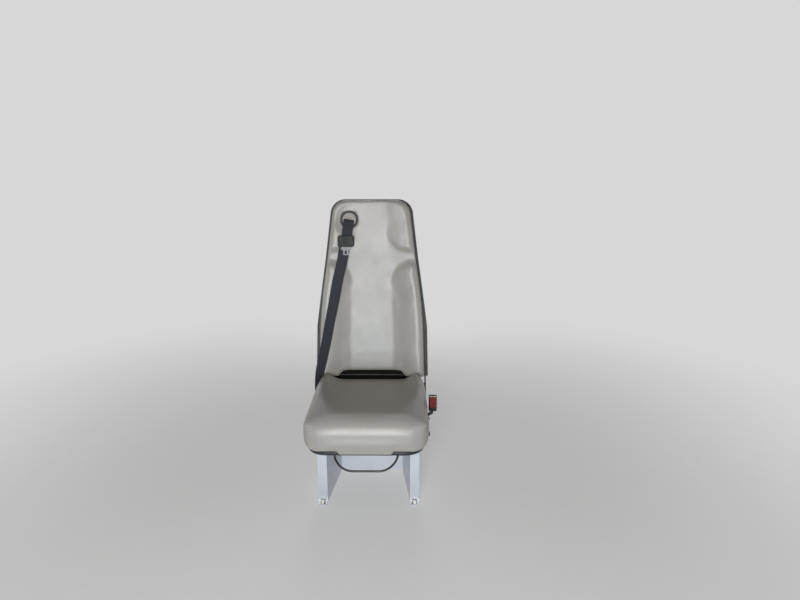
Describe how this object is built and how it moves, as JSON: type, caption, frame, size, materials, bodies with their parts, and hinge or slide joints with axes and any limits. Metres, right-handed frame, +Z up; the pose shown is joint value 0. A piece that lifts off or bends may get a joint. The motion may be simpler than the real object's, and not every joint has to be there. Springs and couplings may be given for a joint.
{
  "type": "ambulance attendant seat",
  "caption": "High-back attendant seat with a built-in three-point belt, sliding fore and aft on a folded floor pedestal.",
  "frame": {"origin": "on the floor, at the centre of the four floor bolt holes", "axes": "+Z up, the seat faces -Y, +X towards the side with the buckle"},
  "size_m": [0.5422, 0.6861, 1.2216],
  "materials": {
    "vinyl": "matte",
    "aluminium": "satin",
    "black_steel": "satin",
    "rail_steel": "satin",
    "shell_plastic": "matte",
    "board": "matte",
    "glide_plastic": "matte",
    "guide_plastic": "satin",
    "guide_insert": "satin",
    "webbing": "matte",
    "bright_steel": "satin",
    "buckle_plastic": "satin",
    "button_red": "gloss"
  },
  "bodies": {
    "pedestal": {"pedestal_side_left": "aluminium", "pedestal_side_right": "aluminium", "pedestal_rear_panel": "aluminium", "rear_foot_strip": "aluminium", "top_plate": "aluminium", "lower_rail_left": "rail_steel", "lower_rail_right": "rail_steel"},
    "seat": {"upper_rail_left": "rail_steel", "upper_rail_right": "rail_steel", "glide_blocks_left": "glide_plastic", "glide_blocks_right": "glide_plastic", "seat_pan": "black_steel", "seat_cushion": "vinyl", "back_pad": "vinyl", "back_board": "board", "back_shell": "shell_plastic", "side_bracket_left": "black_steel", "side_bracket_right": "black_steel", "bracket_spacers": "black_steel", "cross_tube": "black_steel", "belt_guide": "guide_plastic", "belt_guide_plate": "guide_insert", "shoulder_webbing": "webbing", "lap_webbing": "webbing", "tongue_body": "buckle_plastic", "tongue_plate": "bright_steel", "lap_anchor": "bright_steel", "buckle_stalk": "black_steel", "buckle_body": "buckle_plastic", "buckle_button": "button_red", "release_bar": "black_steel", "side_knob": "buckle_plastic"}
  },
  "joints": [
    {"name": "fore_aft_slide", "type": "slide", "parent": "pedestal", "child": "seat", "axis": [0, -1, 0], "range_m": [-0.075, 0.075]}
  ]
}
